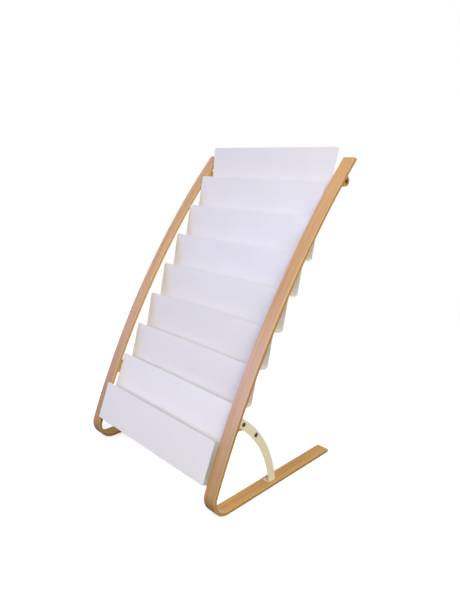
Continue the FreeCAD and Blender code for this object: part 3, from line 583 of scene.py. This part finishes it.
def folded_sheet(line, half, round_end, insets=None):
    """A sheet along a line in (y, z), with rounded corners at its start and maybe its end.

    half is half its width, and insets say how far each point of the line draws its sides in.
    """
    insets = insets or [0.0] * len(line)
    turns = [math.radians(90 * k / CORNER_STEPS) for k in range(CORNER_STEPS + 1)]
    ins = [CORNER * (1 - math.cos(turn)) for turn in turns]
    drops = [CORNER * (1 - math.sin(turn)) for turn in turns]
    flat = half - CORNER
    inner = [flat - flat * 2 * k / PLATE_COLUMNS for k in range(1, PLATE_COLUMNS)]
    columns = [(-half + i, d) for i, d in zip(ins, drops)]
    columns += [(-x, 0.0) for x in inner]
    columns += [(half - i, d) for i, d in zip(reversed(ins), reversed(drops))]
    verts = []
    for row, point in enumerate(line):
        for x, drop in columns:
            y, z = point
            if row == 0:
                step = (line[1] - line[0]).normalized() * drop
                y, z = y + step.x, z + step.y
            elif row == len(line) - 1 and round_end:
                step = (line[-2] - line[-1]).normalized() * drop
                y, z = y + step.x, z + step.y
            verts.append((x * (1 - insets[row] / half), y, z))
    return verts, grid_faces(len(line), len(columns))


def folded_line(path):
    """The middle of a shelf's sheet, folded along a path in the shelf's own frame."""
    return rounded_line(middle_path(path), FOLD_RADIUS + SHEET / 2)


def on_rack(number, line):
    return [Vector(to_rack(number, *point)) for point in line]


def finish_sheet(piece, node):
    """Gives a shelf's sheet its thickness and paint, in place of a CAD node."""
    modify(piece, "SOLIDIFY", thickness=SHEET, offset=0.0, use_even_offset=True)
    soften(piece, SHEET_ROUND, segments=3, angle=50.0)
    place(piece, "white_powder_coat", node)


def lip_box(number, depth, side, half):
    """One turned-down lip under an open end of a ledge."""
    ys = (-LIP_INSET, LIP_INSET - depth)
    zs = (-PLATE_LENGTH - LIP_ROOT, -PLATE_LENGTH - SHEET - LIP)
    xs = (side * half, side * (half - SHEET))
    rings = []
    for y in ys:
        rings.append([(x, *to_rack(number, y, z)) for x, z in
                      ((xs[0], zs[0]), (xs[1], zs[0]), (xs[1], zs[1]), (xs[0], zs[1]))])
    return loft(rings)


def shelf(number):
    """A back plate, the ledge below it and the ledge's turned-down flange and lips."""
    node = f"shelf_{number}"
    half = PLATE_WIDTH / 2
    taper = math.tan(math.radians(TOP_TAPER)) if number == 1 else 0.0
    depth, turn = ledge_depth(number)
    end = (-depth - FLANGE * math.sin(turn), -PLATE_LENGTH - FLANGE * math.cos(turn))
    path = [(0, 0), (0, -PLATE_LENGTH), (-depth, -PLATE_LENGTH), end]
    local = folded_line(path)
    insets = [taper * min(-p[1], PLATE_LENGTH) for p in local]
    sheet = folded_sheet(on_rack(number, local), half, False, insets)
    finish_sheet(mesh_piece(f"folded_shelf_{number}", *sheet), node)
    reach = half - taper * PLATE_LENGTH
    lips = mesh_piece(f"ledge_lips_{number}",
                      *join_parts([lip_box(number, depth, side, reach) for side in (-1, 1)]))
    soften(lips, LIP_ROUND)
    place(lips, "white_powder_coat")


def tray():
    """The lowest tier, with a tall front, and the flat panel on its back plate."""
    half = PLATE_WIDTH / 2
    front_top = TRAY_FRONT - SHEET - TRAY_LENGTH
    path = [(0, -PANEL_OVERHANG), (0, -TRAY_LENGTH), (-TRAY_DEPTH, -TRAY_LENGTH),
            (-TRAY_DEPTH, front_top)]
    sheet = folded_sheet(on_rack(TRAY, folded_line(path)), half, True)
    finish_sheet(mesh_piece("folded_tray", *sheet), "lower_tray")
    rows = [(-SHEET / 2, -PANEL_HEIGHT * k / PANEL_ROWS) for k in range(PANEL_ROWS + 1)]
    sheet = folded_sheet(on_rack(TRAY, rows), half, False)
    finish_sheet(mesh_piece("back_panel", *sheet), "tray_back_panel")


for number in range(1, TRAY):
    shelf(number)
tray()


# ---- blocks and braces ---------------------------------------------------------------------------


def block(axis, side):
    """A half-round cheek block whose front follows the upright's back face."""
    node = f"{axis}_block_{side}"
    low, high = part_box(node)
    radius = (high.z - low.z) / 2
    centre = (high.y - radius, (low.z + high.z) / 2)
    outline = [turn_point(centre, radius, -90 + 180 * k / BLOCK_STEPS)
               for k in range(BLOCK_STEPS + 1)]
    for k in range(BLOCK_FRONT_STEPS + 1):
        height = high.z - (high.z - low.z) * k / BLOCK_FRONT_STEPS
        outline.append(upright_point(height, STRIP_THICK))
    rings = [[(x, *point) for point in outline] for x in (low.x, high.x)]
    piece = mesh_piece(f"cheek_{axis}_{side}", *loft(rings))
    soften(piece, BLOCK_ROUND, segments=3, angle=50.0)
    place(piece, "solid_beech", node)


# Rounded front corner of a brace's tab: how far from its tip, and how far back the front lies.
TAB_CORNER = ((0.0, 3.0 * MM), (1.0 * MM, 1.2 * MM), (3.0 * MM, 0.6 * MM))
HALVINGS = 50


def brace_height_angle(radius, height):
    """Angle on a brace's arc at a height."""
    return math.degrees(math.asin((height - BRACE_CENTRE[1]) / radius))


def brace_top_angle(radius):
    """Angle on a brace's arc where it reaches the gap behind the upright."""
    low, high = 0.0, 89.0
    for _ in range(HALVINGS):
        middle = (low + high) / 2
        point = turn_point(BRACE_CENTRE, radius, middle)
        if point[0] > upright_point(point[1], STRIP_THICK + BRACE_GAP)[0]:
            low = middle
        else:
            high = middle
    return low


def brace(side):
    """An arc plate whose foot tab turns inwards through a bend, made as one folded sheet."""
    node = f"arc_brace_{side}"
    low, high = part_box(node)
    hand = 1 if side == "right" else -1
    face = max(abs(low.x), abs(high.x)) - BRACE_THICK / 2
    tip = min(abs(low.x), abs(high.x))
    floor = STRIP_THICK + BRACE_THICK / 2
    bend_top = floor + BRACE_BEND
    verts = []
    width, spaces = BRACE_RADII[1] - BRACE_RADII[0], BRACE_COLUMNS - 1
    radii = [BRACE_RADII[0] + width * k / spaces for k in range(BRACE_COLUMNS)]
    foot_run = [turn_point(BRACE_CENTRE, r, brace_height_angle(r, bend_top))[0] for r in radii]
    tab = [(tip + away, inset) for away, inset in TAB_CORNER] + [(face - BRACE_BEND, 0.0)]
    for x, inset in tab:
        for k, y in enumerate(foot_run):
            verts.append((hand * x, y + inset * (1 - 2 * k / spaces), floor))
    for step in range(1, BEND_STEPS + 1):
        angle = math.pi / 2 * step / BEND_STEPS
        x = face - BRACE_BEND + BRACE_BEND * math.sin(angle)
        z = bend_top - BRACE_BEND * math.cos(angle)
        verts += [(hand * x, y, z) for y in foot_run]
    for step in range(1, BRACE_STEPS + 1):
        for r in radii:
            first = brace_height_angle(r, bend_top)
            angle = first + (brace_top_angle(r) - first) * step / BRACE_STEPS
            verts.append((hand * face, *turn_point(BRACE_CENTRE, r, angle)))
    faces = grid_faces(len(verts) // BRACE_COLUMNS, BRACE_COLUMNS)
    piece = mesh_piece(f"arc_plate_{side}", verts, faces)
    modify(piece, "SOLIDIFY", thickness=BRACE_THICK, offset=0.0, use_even_offset=True)
    soften(piece, BRACE_ROUND, segments=3, angle=50.0)
    place(piece, "ivory_powder_coat", node)


for side in ("left", "right"):
    for axis in ("upper", "lower"):
        block(axis, side)
    brace(side)


# ---- bolts and screws ----------------------------------------------------------------------------

BOLT = {"height": 4.5 * MM, "crown": 4.0 * MM, "socket_depth": 2.6 * MM, "shank": 4.0 * MM}
BOLT_FLATS = 4.8 * MM
BOLT_LENGTHS = {"upper_rail_bolts": 66.0 * MM, "lower_block_bolts": 54.0 * MM,
                "tie_bar_bolts": 23.0 * MM}
SCREW = {"height": 2.6 * MM, "crown": 2.0 * MM, "socket_depth": 1.8 * MM, "shank": 2.2 * MM}
SCREW_CROSS = (2.6 * MM, 0.8 * MM)
SCREW_LENGTH = 13.0 * MM


def ring_at(centre, axis, distance, reach):
    """A ring of points round an axis whose radius may depend on the angle."""
    axis = Vector(axis)
    one = axis.orthogonal().normalized()
    two = axis.cross(one)
    ring = []
    for k in range(RING_POINTS):
        angle = 2 * math.pi * k / RING_POINTS
        radius = reach(angle) if callable(reach) else reach
        ring.append(Vector(centre) + axis * distance
                    + (one * math.cos(angle) + two * math.sin(angle)) * radius)
    return ring


def hexagon(flat):
    """Radius of a hexagon by angle, from its width across the flats."""
    sixth = math.pi / 3
    return lambda angle: flat / 2 / math.cos((angle % sixth) - sixth / 2)


def cross(wide, narrow):
    """Radius of a soft cross by angle, from those of its arms and of the corners between them."""
    return lambda angle: narrow + (wide - narrow) * abs(math.cos(2 * angle)) ** 5


def domed_fastener(seat, outward, head, socket, length, height, crown, socket_depth, shank):
    """A fastener with a domed head, a shaped recess and a plain shank; the sizes are radii."""
    floor = height - socket_depth
    recess = ((floor, 0.72), (floor + 0.4 * MM, 0.97), (height - 0.2 * MM, 1.0), (height, 1.05))
    rings = [ring_at(seat, outward, level, lambda angle, part=part: socket(angle) * part)
             for level, part in recess]
    for step in range(HEAD_STEPS + 1):
        angle = math.pi / 2 * step / HEAD_STEPS
        rings.append(ring_at(seat, outward, height * math.cos(angle),
                             crown + (head - crown) * math.sin(angle)))
    rings.append(ring_at(seat, outward, 0.0, shank))
    rings.append(ring_at(seat, outward, -length + shank * 0.5, shank))
    rings.append(ring_at(seat, outward, -length, shank * 0.6))
    return loft(rings)


def bolt_pair(node):
    """Two button-head bolts, right and left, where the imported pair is."""
    low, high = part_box(node)
    centre_y, centre_z = (low.y + high.y) / 2, (low.z + high.z) / 2
    head = (high.y - low.y) / 2
    seat_x = high.x - BOLT["height"]
    parts = []
    for hand in (-1, 1):
        seat = (hand * seat_x, centre_y, centre_z)
        parts.append(domed_fastener(seat, (hand, 0, 0), head, hexagon(BOLT_FLATS),
                                    BOLT_LENGTHS[node], **BOLT))
    piece = mesh_piece(f"button_heads_{node}", *join_parts(parts))
    soften(piece, HEAD_ROUND, angle=45.0)
    place(piece, "dark_steel", node)


def screw_pair():
    """Pan-head screws through the brace tabs."""
    node = "brace_tab_screws"
    low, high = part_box(node)
    head = (high.y - low.y) / 2
    seat_z = high.z - SCREW["height"]
    parts = []
    for hand in (-1, 1):
        seat = (hand * (high.x - head), (low.y + high.y) / 2, seat_z)
        parts.append(domed_fastener(seat, (0, 0, 1), head, cross(*SCREW_CROSS),
                                    SCREW_LENGTH, **SCREW))
    piece = mesh_piece("pan_heads_tab_screws", *join_parts(parts))
    place(piece, "zinc_steel", node)


for node in BOLT_LENGTHS:
    bolt_pair(node)
screw_pair()


# ---- studio --------------------------------------------------------------------------------------

FLOOR_RADIUS = 4.0
FLOOR_DROP = 0.2 * MM
FLOOR_FADE = (1.1, 2.6)
AMBIENT = colour(1.0, 0.88, 0.45)
AMBIENT_STRENGTH = 0.12

NEUTRAL = (1.0, 0.975, 0.93)
LAMPLIGHT = (1.0, 0.75, 0.4)
REAR_LIGHT = (1.0, 0.97, 0.92)
DAYLIGHT = (0.59, 0.63, 1.0)
DEEP_DAYLIGHT = (0.45, 0.53, 1.0)
WINDOW_LIGHT = (0.35, 0.42, 1.0)

# The camera that stands where the photograph's stood: focal length in mm, place, and turns.
LENS = 30.83
SENSOR = 36.0
CAMERA_PLACE = (1.5912, -1.4260, 1.2629)
CAMERA_TILT = 73.74
CAMERA_TURN = 46.23


def studio_floor():
    """A floor, bright to the camera and dim to the lights, that fades away from the rack."""
    mesh = bpy.data.meshes.new("floor")
    work = bmesh.new()
    bmesh.ops.create_circle(work, cap_ends=True, segments=96, radius=FLOOR_RADIUS)
    work.to_mesh(mesh)
    work.free()
    floor = linked("studio_floor", mesh)
    floor.location.z = -FLOOR_DROP
    tree = Tree("studio_floor")
    spot = tree.add("ShaderNodeTexCoord").outputs["Object"]
    reach = tree.add("ShaderNodeVectorMath", {0: spot}, operation="LENGTH").outputs["Value"]
    fade = tree.span(reach, *FLOOR_FADE)
    tree.set(Base_Color=colour(0.80, 0.80, 0.80), Roughness=0.75,
             Emission_Color=colour(1, 1, 1), Emission_Strength=0.6)
    clear = tree.add("ShaderNodeBsdfTransparent")
    dim = tree.add("ShaderNodeBsdfDiffuse", {"Color": colour(0.15, 0.15, 0.15)})
    seen = tree.add("ShaderNodeLightPath").outputs["Is Camera Ray"]
    shown = tree.add("ShaderNodeMixShader", {0: seen, 1: dim.outputs[0],
                                             2: tree.shader.outputs[0]})
    blend = tree.add("ShaderNodeMixShader", {0: fade, 1: shown.outputs[0],
                                             2: clear.outputs[0]})
    tree.links.new(blend.outputs[0], tree.nodes["Material Output"].inputs["Surface"])
    floor.data.materials.append(tree.material)


def studio_world():
    """White backdrop for the camera, with a dim warm light for everything else."""
    world = bpy.data.worlds.new("studio")
    bpy.context.scene.world = world
    world.use_nodes = True
    tree = world.node_tree
    back = tree.nodes["Background"]
    back.inputs["Color"].default_value = AMBIENT
    back.inputs["Strength"].default_value = AMBIENT_STRENGTH
    white = tree.nodes.new("ShaderNodeBackground")
    white.inputs["Color"].default_value = colour(1, 1, 1)
    white.inputs["Strength"].default_value = 1.0
    path = tree.nodes.new("ShaderNodeLightPath")
    mix = tree.nodes.new("ShaderNodeMixShader")
    tree.links.new(path.outputs["Is Camera Ray"], mix.inputs[0])
    tree.links.new(back.outputs[0], mix.inputs[1])
    tree.links.new(white.outputs[0], mix.inputs[2])
    tree.links.new(mix.outputs[0], tree.nodes["World Output"].inputs["Surface"])


def sun(name, toward, strength, spread, tint):
    """Broad light that travels in one direction, spread over an angle in degrees."""
    light = bpy.data.lights.new(name, "SUN")
    light.energy = strength
    light.angle = math.radians(spread)
    light.color = tint
    lamp = linked(name, light)
    lamp.rotation_euler = Vector(toward).to_track_quat("-Z", "Y").to_euler()


def softbox(name, location, target, size, power, tint):
    """A rectangular lamp that faces a target and that the camera doesn't see."""
    light = bpy.data.lights.new(name, "AREA")
    light.shape = "RECTANGLE"
    light.size, light.size_y = size
    light.energy = power
    light.color = tint
    lamp = linked(name, light)
    lamp.location = location
    toward = Vector(target) - Vector(location)
    lamp.rotation_euler = toward.to_track_quat("-Z", "Y").to_euler()
    lamp.visible_camera = False
    return lamp


def photo_camera():
    """The photograph's camera."""
    data = bpy.data.cameras.new("camera")
    data.lens = LENS
    data.sensor_width = SENSOR
    data.clip_end = 50.0
    camera = linked("camera", data)
    camera.location = CAMERA_PLACE
    camera.rotation_euler = (math.radians(CAMERA_TILT), 0.0, math.radians(CAMERA_TURN))
    bpy.context.scene.camera = camera


studio_floor()
studio_world()
sun("key", (-0.74, 0.30, -0.60), 2.2, 60.0, NEUTRAL)
sun("room", (-0.60, 0.70, -0.40), 0.3, 60.0, LAMPLIGHT)
sun("daylight", (0.42, 0.78, -0.50), 0.86, 40.0, DAYLIGHT)
sun("side_daylight", (0.85, 0.35, -0.45), 1.15, 60.0, DEEP_DAYLIGHT)
sun("rear", (0.25, -0.95, 0.0), 2.4, 40.0, REAR_LIGHT)
softbox("key_box", (1.70, -0.75, 2.00), (0.1, 0.0, 0.6), (1.2, 1.2), 13.0, NEUTRAL)
window = softbox("window", (-1.35, -2.05, 1.30), (0.2, 0.0, 0.6), (1.5, 1.1), 38.0, WINDOW_LIGHT)
window.visible_diffuse = False    # the window only glosses the wood and paint
photo_camera()
bpy.context.scene.view_settings.view_transform = "Standard"
